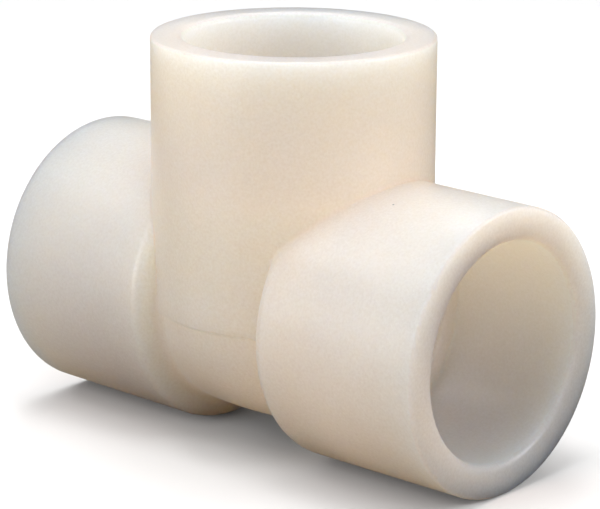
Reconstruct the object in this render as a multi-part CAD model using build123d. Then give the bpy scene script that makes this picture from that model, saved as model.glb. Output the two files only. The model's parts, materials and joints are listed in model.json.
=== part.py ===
from build123d import *
import math
import os

# Equal socket tee for 32 mm pressure pipe. Millimetres.
# Origin: where the run axis (X) crosses the branch axis (Z). The branch points up, along +Z.
# The real tee is one moulding. Its four regions are modelled as separate solids that meet
# face to face on the planes where the hubs, the branch and the centre body join.

# Driving dimensions
PIPE_DIAMETER = 32.0  # outside diameter of the pipe that the sockets take
SOCKET_PLAY = 0.1  # radial room round the pipe for cement, at the middle of the socket
SOCKET_DEPTH = 22.0  # mouth to pipe stop
SOCKET_LEAD_IN = 1.0  # radius of the rounded inner edge at each mouth

RUN_HALF_LENGTH = 40.7  # centre to the mouth of each run socket
BRANCH_HEIGHT = 40.0  # centre to the mouth of the branch socket

RUN_HUB_ROOT_RADIUS = 21.2  # a run hub narrows slightly towards its mouth, for release
RUN_HUB_MOUTH_RADIUS = 21.05
BRANCH_ROOT_RADIUS = 20.92
BRANCH_MOUTH_RADIUS = 20.92
MOUTH_EDGE_ROUND = 0.5  # outer edge of each mouth
SHOULDER_X = 11.3  # inner end of each run hub, from the centre
SHOULDER_ROUND = 2.0  # outer edge of a run hub's inner end
LEDGE_Z = -0.4  # the branch barrel ends here, as a ledge round the centre body
LEDGE_STEP = 0.5  # how far the barrel stands proud of the body under it

BODY_RADIUS = 17.3  # underside of the centre body between the run hubs
WATERWAY_RADIUS = 13.4  # bore past the pipe stops
STOP_ROUND = 0.6  # inner edge of each pipe stop

SOCKET_RADIUS = PIPE_DIAMETER / 2 + SOCKET_PLAY
BEYOND = 60.0  # half size of a cutting block, larger than the whole tee


def arm(root, root_radius, length, mouth_radius, root_round):
    """A solid hub standing on +Z, from z = root to z = length, with rounded edges."""
    with BuildPart() as hub:
        with BuildSketch(Plane.XZ):
            with BuildLine():
                Polyline(
                    (0, root),
                    (root_radius, root),
                    (mouth_radius, length),
                    (0, length),
                    close=True,
                )
            make_face()
        revolve(axis=Axis.Z)
        rims = hub.edges().filter_by(GeomType.CIRCLE).sort_by(Axis.Z)
        fillet(rims[-1], radius=MOUTH_EDGE_ROUND)
        if root_round:
            root_rim = hub.edges().filter_by(GeomType.CIRCLE).sort_by(Axis.Z)[0]
            fillet(root_rim, radius=root_round)
    return hub.part


def socket_core(length):
    """What the core pin leaves open in an arm: socket, lead-in, pipe stop and waterway."""
    stop = length - SOCKET_DEPTH
    lip = length - SOCKET_LEAD_IN
    with BuildPart() as core:
        with BuildSketch(Plane.XZ):
            with BuildLine():
                Polyline(
                    (0, 0),
                    (WATERWAY_RADIUS, 0),
                    (WATERWAY_RADIUS, stop - STOP_ROUND),
                )
                RadiusArc(
                    (WATERWAY_RADIUS, stop - STOP_ROUND),
                    (WATERWAY_RADIUS + STOP_ROUND, stop),
                    STOP_ROUND,
                )
                Polyline(
                    (WATERWAY_RADIUS + STOP_ROUND, stop),
                    (SOCKET_RADIUS, stop),
                    (SOCKET_RADIUS, lip),
                )
                RadiusArc(
                    (SOCKET_RADIUS, lip),
                    (SOCKET_RADIUS + SOCKET_LEAD_IN, length),
                    SOCKET_LEAD_IN,
                )
                Polyline(
                    (SOCKET_RADIUS + SOCKET_LEAD_IN, length),
                    (SOCKET_RADIUS + SOCKET_LEAD_IN, length + 1),
                    (0, length + 1),
                    (0, 0),
                )
            make_face()
        revolve(axis=Axis.Z)
    return core.part


def whole_tee():
    """The complete moulding: hubs, branch barrel and centre body, less the three cores."""
    hub = arm(SHOULDER_X, RUN_HUB_ROOT_RADIUS, RUN_HALF_LENGTH, RUN_HUB_MOUTH_RADIUS, SHOULDER_ROUND)
    run_core = socket_core(RUN_HALF_LENGTH)
    tee = arm(LEDGE_Z, BRANCH_ROOT_RADIUS, BRANCH_HEIGHT, BRANCH_MOUTH_RADIUS, 0)
    tee += centre_body()
    for side in (90, -90):
        tee += Rot(0, side, 0) * hub
    for side in (90, -90):
        tee -= Rot(0, side, 0) * run_core
    tee -= socket_core(BRANCH_HEIGHT)
    return tee


def centre_body():
    """The round body between the hubs. Its sides swell out to meet the barrel above them."""
    end = SHOULDER_X + SHOULDER_ROUND
    swell = BRANCH_ROOT_RADIUS - LEDGE_STEP
    with BuildPart() as body:
        for x in (-end, -end / 2, 0, end / 2, end):
            with BuildSketch(Plane.YZ.offset(x)):
                Ellipse(math.sqrt(swell**2 - x**2), BODY_RADIUS)
        loft()
    return body.part


def slab(*outline):
    """A cutting block: an outline in X and Z, carried well past the tee along Y."""
    return extrude(Plane.XZ * make_face(Polyline(*outline, close=True)), amount=BEYOND, both=True)


def run_space(side):
    """The space of a run socket: past its shoulder plane and below the 45 degree mitre."""
    shoulder, far = side * SHOULDER_X, side * BEYOND
    return slab((shoulder, -BEYOND), (shoulder, SHOULDER_X), (far, BEYOND), (far, -BEYOND))


def branch_space():
    """The space of the branch socket: above the centre body, between the two mitres."""
    return slab(
        (-SHOULDER_X, SHOULDER_X),
        (SHOULDER_X, SHOULDER_X),
        (BEYOND, BEYOND),
        (-BEYOND, BEYOND),
    )


def centre_space():
    """The space of the centre body: between the shoulder planes and below the branch."""
    return slab(
        (-SHOULDER_X, -BEYOND),
        (SHOULDER_X, -BEYOND),
        (SHOULDER_X, SHOULDER_X),
        (-SHOULDER_X, SHOULDER_X),
    )


def main():
    os.makedirs("parts", exist_ok=True)
    tee = whole_tee()
    regions = {
        "centre_body": centre_space(),
        "run_socket_left": run_space(-1),
        "run_socket_right": run_space(1),
        "branch_socket": branch_space(),
    }
    for node, space in regions.items():
        export_step(tee & space, f"parts/{node}.step")


main()
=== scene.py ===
# %% [markdown]
# # A moulded pipe tee in natural plastic
# The fitting is one injection moulding: a straight run with a thick hub at each end, a slimmer
# body between the hubs, and a branch barrel that stands on the body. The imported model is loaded
# first, because it fixes every size and place. Nothing below moves or resizes it.

# %% Load the frame
import json
import math

import bmesh
import bpy
import numpy as np
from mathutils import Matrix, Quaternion, Vector


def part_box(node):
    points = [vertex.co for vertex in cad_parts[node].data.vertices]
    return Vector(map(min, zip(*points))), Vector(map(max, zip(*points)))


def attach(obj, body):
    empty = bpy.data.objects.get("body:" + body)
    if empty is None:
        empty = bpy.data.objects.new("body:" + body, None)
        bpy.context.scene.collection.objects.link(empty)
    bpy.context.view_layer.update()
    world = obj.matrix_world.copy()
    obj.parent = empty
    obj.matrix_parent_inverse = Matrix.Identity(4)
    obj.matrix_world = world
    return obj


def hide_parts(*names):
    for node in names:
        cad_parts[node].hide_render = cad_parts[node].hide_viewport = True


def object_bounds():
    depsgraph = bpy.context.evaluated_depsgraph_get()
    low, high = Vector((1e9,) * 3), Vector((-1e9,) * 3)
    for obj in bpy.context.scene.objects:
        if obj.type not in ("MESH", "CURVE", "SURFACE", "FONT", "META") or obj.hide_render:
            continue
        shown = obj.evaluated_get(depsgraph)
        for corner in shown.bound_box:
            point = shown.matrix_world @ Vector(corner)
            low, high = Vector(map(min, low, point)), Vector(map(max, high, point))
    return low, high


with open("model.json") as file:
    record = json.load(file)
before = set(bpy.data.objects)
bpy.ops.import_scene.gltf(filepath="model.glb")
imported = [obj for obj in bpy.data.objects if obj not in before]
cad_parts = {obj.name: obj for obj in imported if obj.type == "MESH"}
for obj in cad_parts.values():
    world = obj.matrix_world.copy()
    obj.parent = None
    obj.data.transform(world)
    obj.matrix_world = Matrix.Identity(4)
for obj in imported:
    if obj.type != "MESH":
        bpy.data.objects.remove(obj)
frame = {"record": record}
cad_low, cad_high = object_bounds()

MM = 0.001
NODES = ("centre_body", "run_socket_left", "run_socket_right", "branch_socket")
mounts = {mount["name"]: mount for mount in frame["record"]["mounts"]}
print("CAD box, mm:", [round(v / MM, 1) for v in (*cad_low, *cad_high)])

# %% [markdown]
# ## Sizes
# The main radii and lengths are read from the boxes of the imported nodes and from the bores that
# the record states, so the skin made below follows the model in those. The boxes don't show the
# rounds, the hubs' draft or the ledge, so the next cell gives them.

# %% Read the sizes
hub_low, hub_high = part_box("run_socket_right")
branch_low, branch_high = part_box("branch_socket")
body_low, body_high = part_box("centre_body")

RUN_HALF = hub_high[0]
SHOULDER = hub_low[0]
HUB_ROOT = -hub_low[2]
BRANCH_TOP = branch_high[2]
BRANCH_MOUTH = branch_high[1]
BODY = -body_low[2]
BARREL_ROOT = body_high[1]
SOCKET = mounts["branch"]["dims"]["r_mm"] * MM
SOCKET_WALL = mounts["branch"]["dims"]["length_mm"] * MM
WATERWAY = mounts["run_waterway"]["dims"]["r_mm"] * MM
print("hub radius, mm:", round(HUB_ROOT / MM, 2), "socket radius, mm:", round(SOCKET / MM, 2))

# %% [markdown]
# Rounds are where a moulding looks real. Sharp tool edges give small ones at the mouths and the
# ledge, and the shoulders have large ones, which help the melt to flow into the hubs. Each is a
# named value, so that it can be changed without touching a formula.

# %% Rounds and drafts
HUB_DRAFT = 0.15 * MM
LEDGE = -0.4 * MM
LEDGE_STEP = 0.5 * MM
LEAD_IN = 1.0 * MM
MOUTH_ROUND = 0.5 * MM
SHOULDER_ROUND = 2.0 * MM
SHOULDER_FILLET = 3.0 * MM
LEDGE_ROUND = 0.3 * MM
STOP_ROUND = 0.6 * MM
SOCKET_FLOOR_ROUND = 0.4 * MM
CREASE_FILLET = 0.3 * MM
CROSSING_ROUND = 1.0 * MM
SOCKET_DEPTH = SOCKET_WALL + LEAD_IN
print("socket depth, mm:", round(SOCKET_DEPTH / MM, 2), "wall at the mouth, mm:",
      round((BRANCH_MOUTH - SOCKET) / MM, 2))

# %% [markdown]
# ## The moulding as a field of distances
# On the real fitting a steel cavity gives the outside, and three core pins that are pulled out
# after the shot leave the bores. Boolean cuts between cylinders would copy that, but they leave
# ragged edges, and bevels on such edges often fail. So the shape is written as a field: for any
# point it gives the distance to the surface, negative inside. A drum with rounded edges is one
# short formula, and two fields can be joined or cut with a fillet of a chosen radius.

# %% Field helpers
def drum(along, around, low, high, radius, low_round, high_round):
    """A solid drum between two heights on its axis, with a round of its own at each end."""
    middle = (low + high) / 2
    edge = np.where(along > middle, high_round, low_round)
    sideways = around - radius + edge
    endways = np.abs(along - middle) - (high - low) / 2 + edge
    outside = np.hypot(np.maximum(sideways, 0), np.maximum(endways, 0))
    return np.minimum(np.maximum(sideways, endways), 0) + outside - edge


def join(a, b, fillet):
    """Both solids, with a fillet where they meet."""
    corner = np.hypot(np.maximum(fillet - a, 0), np.maximum(fillet - b, 0))
    return np.maximum(fillet, np.minimum(a, b)) - corner


def cut(solid, hole, edge):
    """The solid less the hole, with a rounded edge where the hole breaks the surface."""
    corner = np.hypot(np.maximum(edge + solid, 0), np.maximum(edge - hole, 0))
    return np.minimum(-edge, np.maximum(solid, -hole)) + corner


print("a 2 mm drum reads", drum(np.array([0.0]), np.array([0.0]), -1, 1, 1, 0, 0)[0], "at its centre")

# %% [markdown]
# ## The outside
# Three drums and an oval body make the outer skin. The hubs taper a little towards their mouths, so
# that the cavity halves let them go. The body's sides swell out nearly to the barrel above, so only
# a fine ledge runs round it. A plain cylinder would be simpler, but it would leave a deep step there.

# %% Outside of the tee
def taper(along, start, end, at_start, at_end):
    """A radius that changes evenly between two heights."""
    share = np.clip((along - start) / (end - start), 0, 1)
    return at_start + share * (at_end - at_start)


TINY = 1e-9


def oval(across, down, half_width, half_depth):
    """Distance from an ellipse, negative inside, and true close to it."""
    reach = np.hypot(across / half_width, down / half_depth)
    steep = np.hypot(across / half_width**2, down / half_depth**2)
    return reach * (reach - 1) / np.maximum(steep, TINY)


def outside(x, y, z):
    """The outer skin: body, two run hubs and the branch barrel."""
    around_run, around_branch, out = np.hypot(y, z), np.hypot(x, y), np.abs(x)
    hub_radius = taper(out, SHOULDER, RUN_HALF, HUB_ROOT, HUB_ROOT - HUB_DRAFT)
    half_width = np.sqrt(np.maximum((BARREL_ROOT - LEDGE_STEP)**2 - x**2, (BODY / 2)**2))
    body = np.maximum(oval(y, z, half_width, BODY), out - SHOULDER - SHOULDER_ROUND)
    barrel = drum(z, around_branch, LEDGE, BRANCH_TOP, BARREL_ROOT, LEDGE_ROUND, MOUTH_ROUND)
    hub = drum(out, around_run, SHOULDER, RUN_HALF, hub_radius, SHOULDER_ROUND, MOUTH_ROUND)
    return join(join(body, hub, SHOULDER_FILLET), barrel, CREASE_FILLET)


print("outer wall at a hub mouth, mm:", round((HUB_ROOT - HUB_DRAFT) / MM, 2))

# %% [markdown]
# ## The cores
# Each core pin has a wide end that shapes the socket and a slim end that shapes the waterway. The
# step between them is the pipe stop: a pipe pushed into the socket comes to rest on it. One
# function makes a pin for any arm, and the two run pins share it because the run is symmetrical.

# %% Cores and the whole tee
def arm_core(along, around, mouth):
    """The space that one core pin leaves: waterway, pipe stop and socket."""
    stop = mouth - SOCKET_DEPTH
    waterway = drum(along, around, -WATERWAY / 2, stop + LEAD_IN, WATERWAY, 0, 0)
    socket = drum(along, around, stop, mouth + SOCKET_DEPTH, SOCKET, SOCKET_FLOOR_ROUND, 0)
    return join(waterway, socket, STOP_ROUND)


def cores(x, y, z):
    """All the bored space of the tee."""
    run = arm_core(np.abs(x), np.hypot(y, z), RUN_HALF)
    branch = arm_core(z, np.hypot(x, y), BRANCH_TOP)
    return join(run, branch, CROSSING_ROUND)


def tee(points):
    """Distance from each point to the surface of the moulding."""
    x, y, z = points
    return cut(outside(x, y, z), cores(x, y, z), LEAD_IN)


print("pipe stop width, mm:", round((SOCKET - WATERWAY) / MM, 2))

# %% [markdown]
# ## From field to quads
# Surface nets turn a field into an even skin of quads: a grid is laid over the tee, every cell
# that the surface crosses gets one vertex, and every grid edge that it crosses gets one quad.
# Marching cubes would also work, but it makes slivers. The vertices are then evened out along the
# surface and pulled exactly onto it, so no grid pattern is left.

# %% Surface nets
GRID_STEP = 0.8 * MM


def grid_lines(low, high):
    """Evenly spaced grid lines with two to spare on each side."""
    count = math.ceil((high - low) / GRID_STEP) + 5
    middle = (low + high) / 2
    return middle + (np.arange(count) - (count - 1) / 2) * GRID_STEP


def surface_nets(lines):
    """Vertices and quads where the tee's field changes sign on a grid."""
    nodes = np.stack(np.meshgrid(*lines, indexing="ij"))
    value = tee(nodes)
    inside = value < 0
    cells = tuple(n - 1 for n in value.shape)
    total, count = np.zeros((3, *cells)), np.zeros(cells)
    crossings = []
    for axis in range(3):
        near = tuple(slice(None, -1) if k == axis else slice(None) for k in range(3))
        far = tuple(slice(1, None) if k == axis else slice(None) for k in range(3))
        crossed = inside[near] != inside[far]
        share = np.where(crossed, value[near] / np.where(crossed, value[near] - value[far], 1), 0)
        place = nodes[(slice(None), *near)].copy()
        place[axis] += share * GRID_STEP
        place *= crossed
        side_a, side_b = [k for k in range(3) if k != axis]
        for a in (0, 1):
            for b in (0, 1):
                window = [slice(None)] * 3
                window[side_a] = slice(a, cells[side_a] + a)
                window[side_b] = slice(b, cells[side_b] + b)
                count += crossed[tuple(window)]
                total += place[(slice(None), *window)]
        crossings.append((axis, side_a, side_b, crossed, inside[near]))
    used = count > 0
    number = np.full(cells, -1)
    number[used] = np.arange(used.sum())
    vertices = (total[:, used] / count[used]).T
    quads = []
    for axis, side_a, side_b, crossed, solid_first in crossings:
        at = np.argwhere(crossed)
        ring = []
        for a, b in ((1, 1), (0, 1), (0, 0), (1, 0)):
            cell = at.copy()
            cell[:, side_a] -= a
            cell[:, side_b] -= b
            ring.append(number[tuple(cell.T)])
        ring = np.stack(ring, 1)
        turn = solid_first[crossed] != (axis == 1)
        quads.append(np.where(turn[:, None], ring, ring[:, ::-1]))
    return vertices, np.concatenate(quads)


lines = [grid_lines(low, high) for low, high in zip(cad_low, cad_high)]
vertices, quads = surface_nets(lines)
print("surface nets:", len(vertices), "vertices,", len(quads), "quads")

# %% [markdown]
# The field's slope is the surface normal. It is used twice: to pull each vertex onto the surface,
# and later as the shading normal, which is smoother than any normal averaged from faces.

# %% Pull vertices onto the surface
NUDGE = 0.002 * MM
SLIDE = 0.5


def slope(points):
    """The direction in which the field grows: the outward normal on the surface."""
    steps = np.eye(3) * NUDGE
    grown = [tee((points + step).T) - tee((points - step).T) for step in steps]
    normal = np.stack(grown, 1)
    return normal / np.maximum(np.linalg.norm(normal, axis=1, keepdims=True), TINY)


def settle(points, rounds=4):
    """Move points along the normal until they lie on the surface."""
    for _ in range(rounds):
        points = points - slope(points) * tee(points.T)[:, None]
    return points


def even_out(points, links, rounds):
    """Slide every vertex towards the middle of its neighbours, and settle it again."""
    first, second = links.T
    degree = np.bincount(links.ravel(), minlength=len(points))[:, None]
    for _ in range(rounds):
        middle = np.zeros_like(points)
        np.add.at(middle, first, points[second])
        np.add.at(middle, second, points[first])
        points = settle(points + SLIDE * (middle / degree - points), 2)
    return points


# %% [markdown]
# Raw surface nets bunch their vertices up along curves. A few rounds of sliding each vertex towards
# its neighbours spread them evenly. Every round ends by settling them on the surface again, so the
# shape itself doesn't shrink, as it would with Blender's own smoothing.

# %% Build the base skin
EVENING_ROUNDS = 6

vertices = settle(vertices)
skin = bmesh.new()
for place in vertices:
    skin.verts.new(place)
skin.verts.ensure_lookup_table()
for quad in quads:
    skin.faces.new([skin.verts[i] for i in quad])
skin.verts.index_update()
links = np.array([[v.index for v in edge.verts] for edge in skin.edges])
vertices = even_out(vertices, links, EVENING_ROUNDS)
print("furthest vertex from the surface, mm:", round(float(np.abs(tee(vertices.T)).max()) / MM, 4))

# %% [markdown]
# Flat and straight stretches need few faces, and the small rounds need many. Every edge along
# which the normal turns sharply is split in two, and the new vertices settle on the surface. A few
# passes give smooth mouth rims and creases without a heavy mesh. A vertex left on only two edges
# would fold two faces onto one line when they are split into triangles, so it is dissolved.

# %% Refine where the surface turns
SHARPEST_TURN = math.cos(math.radians(16))
REFINE_PASSES = 3


def place_all(mesh, points):
    """Write points back to the vertices of an editable mesh."""
    for vertex, point in zip(mesh.verts, points):
        vertex.co = point


place_all(skin, vertices)
for _ in range(REFINE_PASSES):
    normals = slope(np.array([v.co for v in skin.verts]))
    skin.verts.index_update()
    turning = [
        edge for edge in skin.edges
        if normals[edge.verts[0].index] @ normals[edge.verts[1].index] < SHARPEST_TURN
    ]
    bmesh.ops.subdivide_edges(skin, edges=turning, cuts=1, use_grid_fill=True)
    place_all(skin, settle(np.array([v.co for v in skin.verts]), 3))
    print("split", len(turning), "edges; faces now", len(skin.faces))
needless = [vertex for vertex in skin.verts if len(vertex.link_edges) == 2]
bmesh.ops.dissolve_verts(skin, verts=needless)
bmesh.ops.triangulate(skin, faces=[f for f in skin.faces if len(f.verts) > 4], ngon_method="BEAUTY")
print("dissolved", len(needless), "vertices that turn no corner; faces now", len(skin.faces))

# %% [markdown]
# ## The moulding
# The skin becomes one object, because the real tee is one shot of plastic with no joints in it. It
# stands for all four sub-parts of the model and rides on the one rigid body. It could be four
# meshes, but light that travels inside the plastic would then stop at every false joint.

# %% Make the moulding
def make_moulding():
    """The finished mesh, with the field's own normals, riding on the one rigid body."""
    mesh = bpy.data.meshes.new("tee_moulding")
    skin.to_mesh(mesh)
    skin.free()
    piece = bpy.data.objects.new("tee_moulding", mesh)
    bpy.context.scene.collection.objects.link(piece)
    points = np.zeros(len(mesh.vertices) * 3)
    mesh.vertices.foreach_get("co", points)
    mesh.shade_smooth()
    mesh.normals_split_custom_set_from_vertices(slope(points.reshape(-1, 3)))
    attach(piece, "root")
    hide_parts(*NODES)
    return piece


moulding = make_moulding()
print("moulding:", len(moulding.data.vertices), "vertices,", len(moulding.data.polygons), "faces")

# %% [markdown]
# ## Tools for materials
# A material is a small network. These helpers add a node with its settings and wire two sockets,
# so the recipes below stay short. A shader group is made with named inputs and outputs, and each
# material that uses it sets its own values.

# %% Node helpers
def add(tree, kind, settings=(), **fields):
    """A node with its properties and the defaults of its inputs set."""
    node = tree.nodes.new("ShaderNode" + kind)
    for name, value in fields.items():
        setattr(node, name, value)
    for name, value in dict(settings).items():
        node.inputs[name].default_value = value
    return node


def wire(tree, *pairs):
    """Join each output to its input."""
    for source, target in pairs:
        tree.links.new(source, target)


def new_group(name, inputs, outputs):
    """An empty shader group. Inputs are (name, kind, value), outputs are (name, kind)."""
    tree = bpy.data.node_groups.new(name, "ShaderNodeTree")
    for title, kind, value in inputs:
        socket = tree.interface.new_socket(title, in_out="INPUT", socket_type="NodeSocket" + kind)
        socket.default_value = value
    for title, kind in outputs:
        tree.interface.new_socket(title, in_out="OUTPUT", socket_type="NodeSocket" + kind)
    return tree, tree.nodes.new("NodeGroupInput").outputs, tree.nodes.new("NodeGroupOutput").inputs


def math_node(tree, operation, first, second):
    """One sum on a linked value and another value, linked or plain."""
    node = add(tree, "Math", operation=operation)
    for socket, value in zip(node.inputs, (first, second)):
        if isinstance(value, (int, float)):
            socket.default_value = value
        else:
            tree.links.new(value, socket)
    return node.outputs[0]


def noise(tree, size, detail=2.0, roughness=0.5, stretch=None):
    """Noise in object coordinates, with patches of a linked or plain size in metres."""
    place = add(tree, "TexCoord").outputs["Object"]
    if stretch:
        mapping = add(tree, "Mapping", {"Scale": stretch})
        tree.links.new(place, mapping.inputs["Vector"])
        place = mapping.outputs["Vector"]
    node = add(tree, "TexNoise", {"Detail": detail, "Roughness": roughness})
    scale = math_node(tree, "DIVIDE", 1.0, size)
    wire(tree, (place, node.inputs["Vector"]), (scale, node.inputs["Scale"]))
    return node.outputs["Fac"]


def between(tree, value, low, high, to_low=0.0, to_high=1.0):
    """Stretch a value from one range to another, and stop at the ends."""
    node = add(tree, "MapRange", {"From Min": low, "From Max": high, "To Min": to_low, "To Max": to_high})
    tree.links.new(value, node.inputs["Value"])
    return node.outputs["Result"]


def blend(tree, share, first, second):
    """Mix two colours, each linked or plain."""
    node = add(tree, "Mix", data_type="RGBA")
    tree.links.new(share, node.inputs["Factor"])
    for name, colour in (("A", first), ("B", second)):
        socket = next(s for s in node.inputs if s.name == name and s.type == "RGBA")
        if isinstance(colour, tuple):
            socket.default_value = colour
        else:
            tree.links.new(colour, socket)
    return next(s for s in node.outputs if s.type == "RGBA")


print("helpers ready; shader groups so far:", len(bpy.data.node_groups))

# %% [markdown]
# ## Effect: cloud in the resin
# Natural resin is never quite even. Where the melt met or cooled slowly it turns a little milkier,
# in soft patches a centimetre or so across, with a finer mottle on top. A painted picture could
# give this, but noise in object coordinates has no seams. The group mixes two colours by the cloud.

# %% Resin cloud
def make_resin_cloud():
    """Two colours of one resin, mixed in soft patches with a fine mottle."""
    tree, given, result = new_group(
        "resin_cloud",
        [("Clear", "Color", (0.9, 0.8, 0.7, 1)), ("Milky", "Color", (0.9, 0.8, 0.7, 1)),
         ("Patch Size", "Float", 12 * MM), ("Mottle Size", "Float", 0.5 * MM)],
        [("Color", "Color"), ("Cloud", "Float")],
    )
    patches = between(tree, noise(tree, given["Patch Size"]), *PATCH_RANGE)
    mottle = between(tree, noise(tree, given["Mottle Size"], detail=3), *MOTTLE_RANGE)
    cloud = math_node(tree, "ADD", math_node(tree, "MULTIPLY", patches, PATCH_SHARE),
                      math_node(tree, "MULTIPLY", mottle, 1 - PATCH_SHARE))
    wire(tree, (blend(tree, cloud, given["Clear"], given["Milky"]), result["Color"]),
         (cloud, result["Cloud"]))
    return tree


PATCH_SHARE = 0.25
PATCH_RANGE = (0.3, 0.7)
MOTTLE_RANGE = (0.25, 0.75)
resin_cloud = make_resin_cloud()
print(resin_cloud.name, "has", len(resin_cloud.nodes), "nodes")

# %% [markdown]
# ## Effect: grain of the mould
# A sanded or spark-cut cavity leaves its texture on the plastic: shallow bumps 0.25 to 0.4 mm
# across. They also break up the gloss. The group gives a height for a bump and a
# roughness that varies with broader wear of the steel.

# %% Mould grain
def make_mould_grain():
    """Height of the cavity's grain, and a roughness that drifts with it."""
    tree, given, result = new_group(
        "mould_grain",
        [("Grain Size", "Float", 0.3 * MM), ("Smoothest", "Float", 0.3), ("Roughest", "Float", 0.4)],
        [("Height", "Float"), ("Roughness", "Float")],
    )
    grain = noise(tree, given["Grain Size"], detail=4, roughness=0.6)
    wave = noise(tree, SURFACE_WAVE, detail=1)
    drift = between(tree, noise(tree, WEAR_PATCH, detail=3), *WEAR_RANGE)
    mixed = math_node(tree, "ADD", math_node(tree, "MULTIPLY", drift, DRIFT_SHARE),
                      math_node(tree, "MULTIPLY", grain, 1 - DRIFT_SHARE))
    span = math_node(tree, "SUBTRACT", given["Roughest"], given["Smoothest"])
    wire(
        tree,
        (math_node(tree, "ADD", grain, math_node(tree, "MULTIPLY", wave, WAVE_SHARE)), result["Height"]),
        (math_node(tree, "ADD", given["Smoothest"], math_node(tree, "MULTIPLY", span, mixed)),
         result["Roughness"]),
    )
    return tree


SURFACE_WAVE = 6 * MM
WEAR_PATCH = 9 * MM
WAVE_SHARE = 1.5
WEAR_RANGE = (0.35, 0.65)
DRIFT_SHARE = 0.7
mould_grain = make_mould_grain()
print(mould_grain.name, "has", len(mould_grain.nodes), "nodes")

# %% [markdown]
# ## Effect: specks
# A few burnt or dusty grains get into every natural moulding. Each shows as a dark dot a fraction
# of a millimetre across. Cells of a Voronoi texture place them, and only those cells whose own
# random value is below the chosen share carry a dot.

# %% Specks
def make_specks():
    """A mask of small scattered dots, one at most in each cell."""
    tree, given, result = new_group(
        "specks",
        [("Cell Size", "Float", 5 * MM), ("Speck Radius", "Float", 0.15 * MM), ("Share", "Float", 0.1)],
        [("Mask", "Float")],
    )
    place = add(tree, "TexCoord").outputs["Object"]
    cells = add(tree, "TexVoronoi")
    wire(tree, (place, cells.inputs["Vector"]),
         (math_node(tree, "DIVIDE", 1.0, given["Cell Size"]), cells.inputs["Scale"]))
    reach = math_node(tree, "DIVIDE", given["Speck Radius"], given["Cell Size"])
    near = add(tree, "MapRange", {"To Min": 1.0, "To Max": 0.0, "From Min": 0.0})
    wire(tree, (cells.outputs["Distance"], near.inputs["Value"]), (reach, near.inputs["From Max"]))
    draw = add(tree, "SeparateColor")
    tree.links.new(cells.outputs["Color"], draw.inputs["Color"])
    chosen = math_node(tree, "LESS_THAN", draw.outputs["Red"], given["Share"])
    dot = math_node(tree, "MULTIPLY", near.outputs["Result"], chosen)
    wire(tree, (between(tree, dot, 0.0, SPECK_EDGE), result["Mask"]))
    return tree


SPECK_EDGE = 0.6
specks = make_specks()
print(specks.name, "has", len(specks.nodes), "nodes")

# %% [markdown]
# ## Effect: rub marks
# Fittings travel loose in a bag and rub against each other. That leaves short, faint, duller
# streaks. Noise squeezed along one axis draws them, and a threshold keeps only the strongest.

# %% Rub marks
def make_rub_marks():
    """A mask of short faint streaks in two directions."""
    tree, given, result = new_group(
        "rub_marks",
        [("Width", "Float", 0.5 * MM), ("Least", "Float", 0.62)],
        [("Mask", "Float")],
    )
    streaks = [noise(tree, given["Width"], stretch=stretch) for stretch in STREAK_STRETCH]
    strongest = math_node(tree, "MAXIMUM", *streaks)
    edge = add(tree, "MapRange", {"From Max": FULL_MARK})
    wire(tree, (strongest, edge.inputs["Value"]), (given["Least"], edge.inputs["From Min"]),
         (edge.outputs["Result"], result["Mask"]))
    return tree


STREAK_STRETCH = ((0.06, 1.0, 1.0), (1.0, 1.0, 0.05))
FULL_MARK = 0.8
rub_marks = make_rub_marks()
print(rub_marks.name, "has", len(rub_marks.nodes), "nodes")

# %% [markdown]
# ## Natural plastic
# Unpigmented plastic is milky and lets light in. Light scatters about inside the wall and comes out
# warmer, so shaded sides glow tan instead of turning grey. A diffuse colour can't do that, so the
# shader uses subsurface scattering that reaches well past the wall. Blue light is scattered over a
# shorter distance than red, which makes thick and shaded places more orange. The roughness stays
# above 0.28. With 0.24 to 0.34 outside and nothing else changed, a draft render showed patches with
# hard edges, and with 0.29 to 0.38 it showed none.
#
# The moulding has three finishes. The cavity leaves a satin skin outside, the polished core pins
# leave smoother bores, and the flat mouths are a little duller. The bores' lighter colours are
# painted light, and the mouths' darker colours are painted shade. One recipe makes all three. The
# thick hubs look pinker than the barrel, so the outer finish may have a second pair of colours.

# %% Plastic recipe
SCATTER_REACH = 40 * MM
SCATTER_TINT = (1.0, 0.78, 0.55)
PLASTIC_IOR = 1.5
SPECK_COLOUR = (0.16, 0.10, 0.06, 1)
GRAIN_HEIGHT = 0.02 * MM


def use(tree, group, **values):
    """Place a shader group in a material with this material's own values."""
    node = add(tree, "Group", node_tree=group)
    for name, value in values.items():
        node.inputs[name.replace("_", " ")].default_value = value
    return node.outputs


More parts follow.
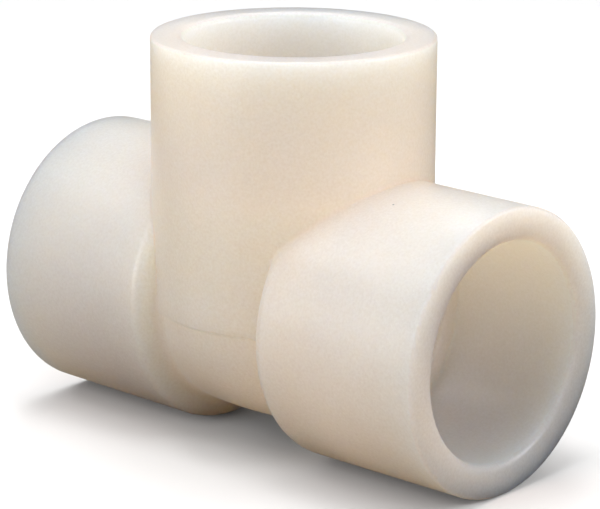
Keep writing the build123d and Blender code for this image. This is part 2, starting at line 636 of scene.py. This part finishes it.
def plastic(name, clear, milky, smoothest, roughest, grain, hub_clear=None, hub_milky=None):
    """Natural plastic with one kind of finish. Hubs may have colours of their own."""
    material = bpy.data.materials.new(name)
    material.use_nodes = True
    tree = material.node_tree
    shader = tree.nodes["Principled BSDF"]
    for title, value in (("IOR", PLASTIC_IOR), ("Subsurface Weight", 1.0),
                         ("Subsurface Radius", SCATTER_TINT), ("Subsurface Scale", SCATTER_REACH)):
        shader.inputs[title].default_value = value
    colour = use(tree, resin_cloud, Clear=clear, Milky=milky, Patch_Size=13 * MM,
                 Mottle_Size=0.4 * MM)["Color"]
    if hub_clear:
        hubs = use(tree, resin_cloud, Clear=hub_clear, Milky=hub_milky, Patch_Size=11 * MM,
                   Mottle_Size=0.4 * MM)["Color"]
        place = add(tree, "TexCoord").outputs["Object"]
        split = add(tree, "SeparateXYZ")
        across = add(tree, "VectorMath", operation="MULTIPLY")
        across.inputs[1].default_value = (0, 1, 1)
        around = add(tree, "VectorMath", operation="LENGTH")
        wire(tree, (place, split.inputs[0]), (place, across.inputs[0]), (across.outputs[0], around.inputs[0]))
        out_along = math_node(tree, "ABSOLUTE", split.outputs["X"], 0.0)
        past_shoulder = between(tree, out_along, SHOULDER, SHOULDER + TINT_FADE)
        off_barrel = between(tree, around.outputs["Value"], HUB_ROOT, HUB_ROOT + CREASE_FADE, 1.0, 0.0)
        on_hub = math_node(tree, "MULTIPLY", off_barrel, past_shoulder)
        colour = blend(tree, on_hub, colour, hubs)
    dots = use(tree, specks, Cell_Size=6 * MM, Speck_Radius=0.22 * MM, Share=0.35)["Mask"]
    skin_grain = use(tree, mould_grain, Grain_Size=grain, Smoothest=smoothest, Roughest=roughest)
    rubbed = use(tree, rub_marks, Width=0.25 * MM, Least=0.66)["Mask"]
    bump = add(tree, "Bump", {"Strength": 1.0, "Distance": GRAIN_HEIGHT})
    wire(
        tree,
        (blend(tree, dots, colour, SPECK_COLOUR), shader.inputs["Base Color"]),
        (math_node(tree, "ADD", skin_grain["Roughness"], math_node(tree, "MULTIPLY", rubbed, RUB_DULLING)),
         shader.inputs["Roughness"]),
        (skin_grain["Height"], bump.inputs["Height"]),
        (bump.outputs["Normal"], shader.inputs["Normal"]),
    )
    return material


TINT_FADE = 3 * MM
CREASE_FADE = 0.75 * MM
RUB_DULLING = 0.05
print("scattering scale of red light, mm:", round(SCATTER_REACH / MM))

# %% [markdown]
# ## Three finishes on one moulding
# Each face gets its finish from where it lies. A face in the bored space belongs to a core pin, a
# flat face at the end of an arm is a mouth, and the rest is outer skin. The finish brings painted
# light to the bores and painted shade to the mouths.

# %% Assign the finishes
outer_plastic = plastic(
    "outer_plastic", (0.86, 0.68, 0.53, 1), (0.96, 0.80, 0.675, 1),
    smoothest=0.29, roughest=0.38, grain=0.28 * MM,
    hub_clear=(0.865, 0.65, 0.53, 1), hub_milky=(0.965, 0.765, 0.655, 1),
)
# Lighter colours than the outer skin: painted light in the bores. The lower roughness is the polished core's
# finish.
bore_finish_and_painted_light = plastic(
    "bore_finish_and_painted_light", (0.90, 0.72, 0.59, 1), (0.98, 0.81, 0.705, 1),
    smoothest=0.285, roughest=0.34, grain=0.4 * MM,
)
# Darker, pinker colours than the outer skin: painted shade on the mouths. The higher roughness is their
# duller finish.
mouth_finish_and_painted_shade = plastic(
    "mouth_finish_and_painted_shade", (0.85, 0.61, 0.505, 1), (0.955, 0.73, 0.63, 1),
    smoothest=0.30, roughest=0.42, grain=0.25 * MM,
)
FINISHES = (outer_plastic, bore_finish_and_painted_light, mouth_finish_and_painted_shade)
MOUTH_DEPTH = 0.3 * MM
CORE_SKIN = 0.05 * MM


def finish_of(centres):
    """The number of the finish of each face: 0 outside, 1 in a bore, 2 on a mouth."""
    x, y, z = centres.T
    in_core = cores(x, y, z) < CORE_SKIN
    on_mouth = np.maximum(np.abs(x) - RUN_HALF, z - BRANCH_TOP) > -MOUTH_DEPTH
    return np.where(on_mouth, 2, np.where(in_core, 1, 0))


for finish in FINISHES:
    moulding.data.materials.append(finish)
centres = np.zeros(len(moulding.data.polygons) * 3)
moulding.data.polygons.foreach_get("center", centres)
chosen = finish_of(centres.reshape(-1, 3))
moulding.data.polygons.foreach_set("material_index", chosen)
for number, finish in enumerate(FINISHES):
    print(finish.name, "covers", int((chosen == number).sum()), "faces")

# %% [markdown]
# ## Floor
# The fitting lies on a sheet of pale paper. White paper would throw light up into the underside,
# which here should stay tan. So the paper looks pale to the camera and sends back little light to
# the fitting. A black floor would do the second but not the first. Light Path tells them apart.

# %% Floor
FLOOR_REACH = 3.0
PAPER_SEEN = (0.92, 0.92, 0.92, 1)
PAPER_BOUNCE = (0.06, 0.05, 0.04, 1)


def paper():
    """Pale to the camera, dark to light that bounces off it."""
    material = bpy.data.materials.new("paper")
    material.use_nodes = True
    tree = material.node_tree
    tree.nodes.clear()
    seen = add(tree, "BsdfDiffuse", {"Color": PAPER_SEEN})
    bounce = add(tree, "BsdfDiffuse", {"Color": PAPER_BOUNCE})
    ray, mix, out = add(tree, "LightPath"), add(tree, "MixShader"), add(tree, "OutputMaterial")
    wire(tree, (ray.outputs["Is Camera Ray"], mix.inputs["Fac"]), (bounce.outputs[0], mix.inputs[1]),
         (seen.outputs[0], mix.inputs[2]), (mix.outputs[0], out.inputs["Surface"]))
    return material


bpy.ops.mesh.primitive_plane_add(size=2 * FLOOR_REACH, location=(0, 0, cad_low[2]))
floor = bpy.context.object
floor.name = "floor"
floor.data.materials.append(paper())
print("floor at z, mm:", round(floor.location.z / MM, 2))

# %% [markdown]
# ## Light
# Milky plastic needs light from all round, as in a light tent: one lamp would burn one side and
# leave the other dull. All the softboxes are of one size. The strongest two are overhead and on the
# right, three on the left and one in front fill in the shape, and one behind lights the far side.

# %% Lights
WORLD_STRENGTH = 0.19
SOFTBOX_SIDE = 0.35
SOFTBOX_REACH = 0.7
# Each has an azimuth and an elevation in degrees, and a power in watts.
SOFTBOXES = {
    "overhead": (42, 88, 2.25),
    "high_left": (-48, 55, 1.25),
    "left": (-8, 28, 0.96),
    "low_left": (-18, 8, 1.68),
    "front": (57, 28, 1.15),
    "right": (122, 28, 2.25),
    "behind": (222, 55, 1.31),
}


def bearing(azimuth, elevation):
    """A unit vector from the tee towards a place in the studio."""
    turn, lift = math.radians(azimuth), math.radians(elevation)
    return Vector((math.sin(turn) * math.cos(lift), -math.cos(turn) * math.cos(lift), math.sin(lift)))


def softbox(name, azimuth, elevation, watts):
    """A square soft light that faces the tee."""
    lamp = bpy.data.lights.new(name, "AREA")
    lamp.shape, lamp.size, lamp.energy = "SQUARE", SOFTBOX_SIDE, watts
    holder = bpy.data.objects.new(name, lamp)
    away = bearing(azimuth, elevation)
    holder.location = away * SOFTBOX_REACH
    holder.rotation_euler = (-away).to_track_quat("-Z", "Y").to_euler()
    bpy.context.scene.collection.objects.link(holder)


world = bpy.data.worlds.new("studio")
world.use_nodes = True
world.node_tree.nodes["Background"].inputs["Color"].default_value = (1, 1, 1, 1)
world.node_tree.nodes["Background"].inputs["Strength"].default_value = WORLD_STRENGTH
bpy.context.scene.world = world
for name, (azimuth, elevation, watts) in SOFTBOXES.items():
    softbox(name, azimuth, elevation, watts)
print(len(SOFTBOXES), "softboxes,", round(sum(box[2] for box in SOFTBOXES.values()), 2), "W in all")

# %% [markdown]
# ## Camera
# A long lens from a little above, turned so that the right-hand mouth faces the viewer and the
# branch stands upright. A wide lens close up would stretch the near hub.

# %% Camera
AZIMUTH, ELEVATION, ROLL = 42.39, 15.83, 0.28
DISTANCE = 0.4103
AIM_RIGHT, AIM_UP = 1.06 * MM, 6.33 * MM
FOCAL, SENSOR = 164.7, 36
back = bearing(AZIMUTH, ELEVATION)
right = (-back).cross(Vector((0, 0, 1))).normalized()
up = right.cross(-back)
lens = bpy.data.cameras.new("camera")
lens.lens, lens.sensor_width = FOCAL, SENSOR
lens.clip_start, lens.clip_end = 0.01, 20
camera = bpy.data.objects.new("camera", lens)
camera.location = right * AIM_RIGHT + up * AIM_UP + back * DISTANCE
camera.rotation_mode = "QUATERNION"
camera.rotation_quaternion = Quaternion(back, math.radians(ROLL)) @ (-back).to_track_quat("-Z", "Y")
bpy.context.scene.collection.objects.link(camera)
bpy.context.scene.camera = camera
bpy.context.scene.view_settings.view_transform = "Standard"
print("camera at, mm:", [round(v / MM, 1) for v in camera.location])
